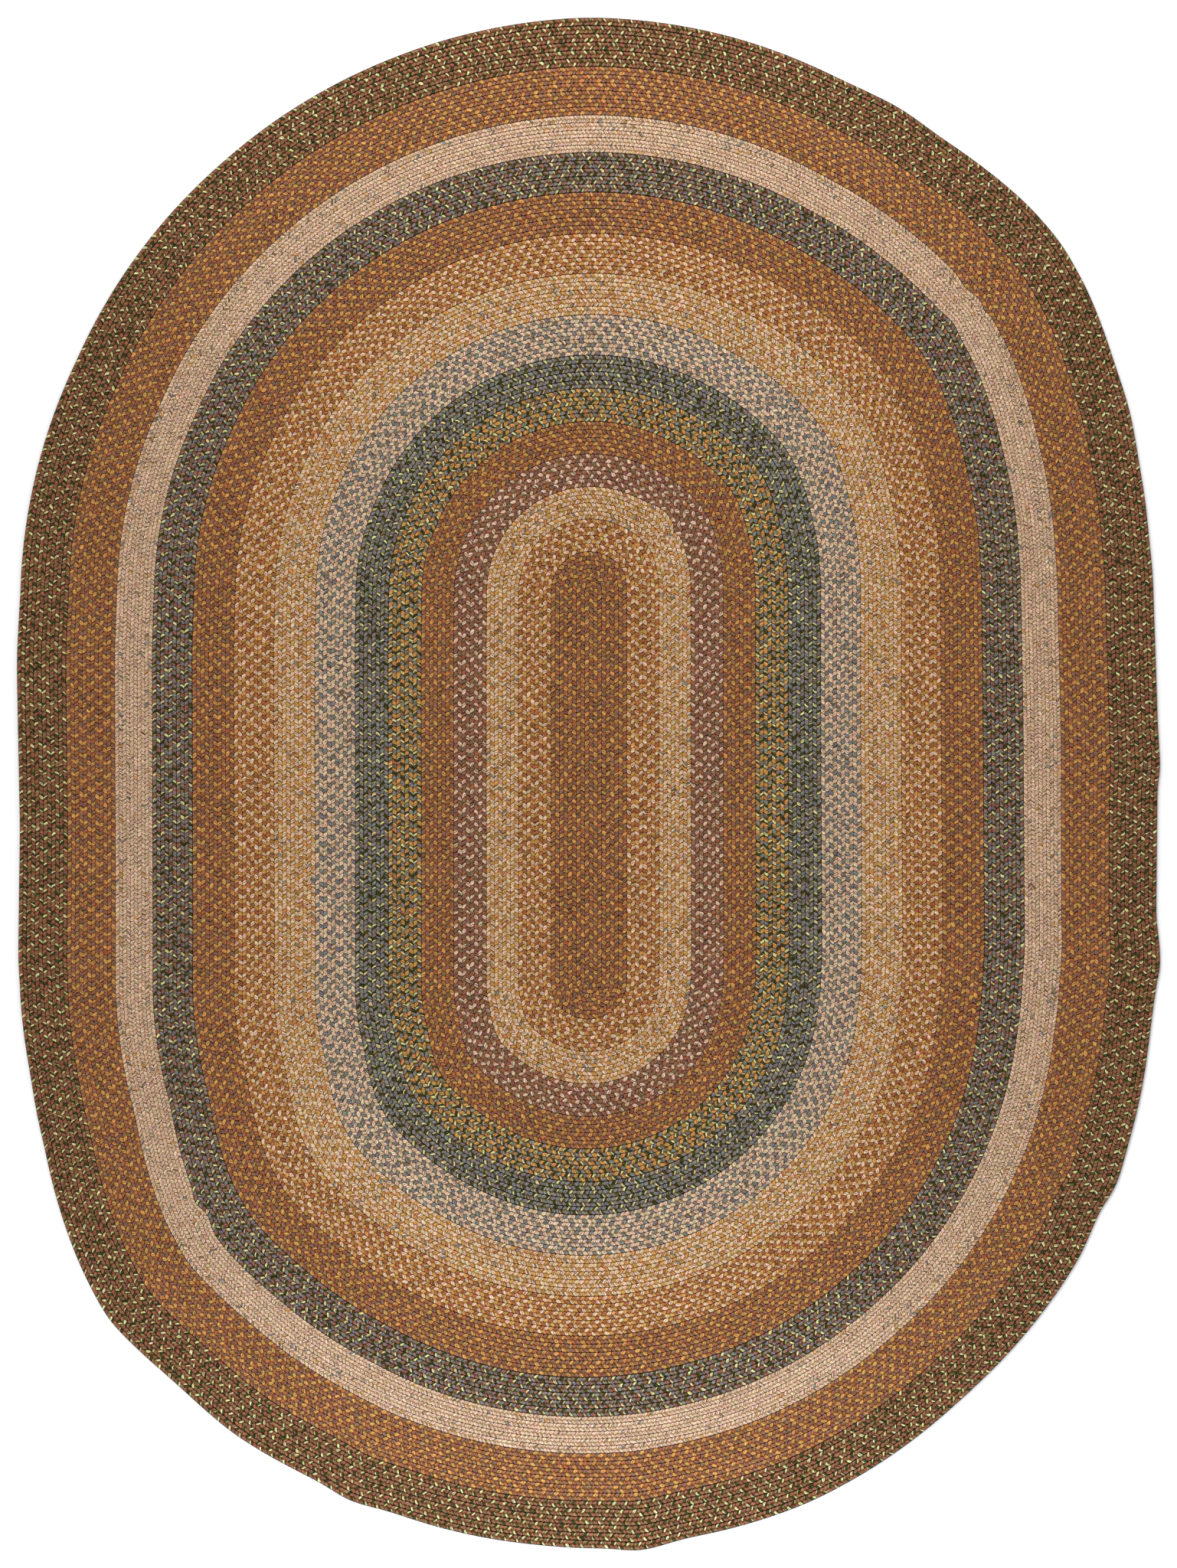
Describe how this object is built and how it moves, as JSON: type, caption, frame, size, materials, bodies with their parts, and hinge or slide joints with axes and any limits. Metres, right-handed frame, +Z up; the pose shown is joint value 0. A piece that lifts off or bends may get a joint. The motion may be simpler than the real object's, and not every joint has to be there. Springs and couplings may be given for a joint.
{
  "type": "braided rug",
  "caption": "Oval rug of flat braid laced in rows round a straight middle braid, banded in brown, gold, tan, slate, beige and rust, for lying flat on a floor.",
  "frame": {"origin": "centre of the rug's underside, on the floor it lies on", "axes": "+Y along the rug's length, +X across it, +Z up from the floor"},
  "size_m": [2.7258, 3.6586, 0.0108],
  "materials": {
    "yarn_amber": "matte",
    "yarn_gold": "matte",
    "yarn_tan": "matte",
    "yarn_mauve": "matte",
    "yarn_olive": "matte",
    "yarn_slate": "matte",
    "yarn_grey": "matte",
    "yarn_lime_slate": "matte",
    "yarn_beige": "matte",
    "yarn_rust": "matte"
  },
  "bodies": {
    "root": {"band_01_core": "yarn_amber", "band_02_gold": "yarn_gold", "band_03_tan": "yarn_tan", "band_04_mauve": "yarn_mauve", "band_05_amber": "yarn_amber", "band_06_olive": "yarn_olive", "band_07_slate": "yarn_slate", "band_08_grey": "yarn_grey", "band_09_tan": "yarn_tan", "band_10_gold": "yarn_gold", "band_11_amber": "yarn_amber", "band_12_lime_slate": "yarn_lime_slate", "band_13_beige": "yarn_beige", "band_14_amber": "yarn_amber", "band_15_rust": "yarn_rust"}
  },
  "joints": []
}
